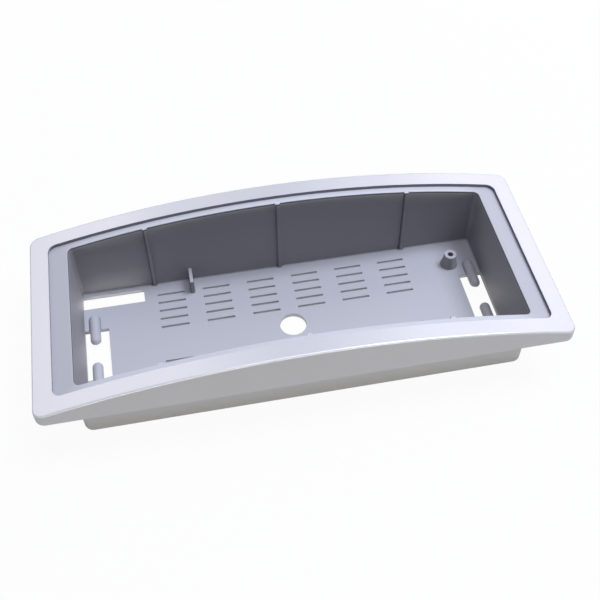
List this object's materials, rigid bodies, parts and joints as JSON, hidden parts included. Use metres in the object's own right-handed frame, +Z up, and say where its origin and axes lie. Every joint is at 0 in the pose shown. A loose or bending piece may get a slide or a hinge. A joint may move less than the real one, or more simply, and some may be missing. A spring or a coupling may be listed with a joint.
{
  "type": "moulded bezel housing",
  "caption": "Moulded housing: an arched rectangular bezel with a stepped ledge round a deep drafted pocket, with a vented floor, screw boss, tab, side windows and spring fingers.",
  "frame": {"origin": "centre of the flat underside of the pocket, on which the housing stands", "axes": "+X along the bezel's length, +Y to the side with the tab and the corner window, +Z up, out of the pocket's mouth"},
  "size_m": [0.25, 0.1074, 0.0503],
  "materials": {
    "plastic": "fine moulded satin"
  },
  "bodies": {
    "root": {"housing": "plastic"}
  },
  "joints": []
}
